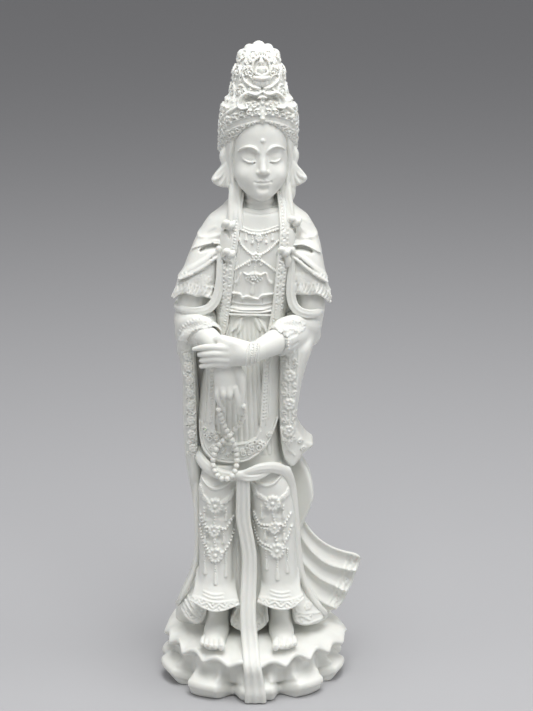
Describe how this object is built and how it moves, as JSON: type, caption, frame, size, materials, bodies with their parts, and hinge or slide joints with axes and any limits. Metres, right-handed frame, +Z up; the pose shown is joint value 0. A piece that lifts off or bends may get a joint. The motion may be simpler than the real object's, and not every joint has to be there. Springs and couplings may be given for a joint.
{
  "type": "guanyin statue",
  "caption": "Standing bodhisattva figure with a tall crown, long robes and prayer beads in crossed hands, cast in one with its lotus base.",
  "frame": {"origin": "centre of the flat underside of the lotus base", "axes": "+Z up, -Y the way the figure faces, +X towards the figure's left"},
  "size_m": [0.0842, 0.0786, 0.2647],
  "materials": {
    "marble": "fine satin white marble, slightly translucent"
  },
  "bodies": {
    "root": {"statue": "marble"}
  },
  "joints": []
}
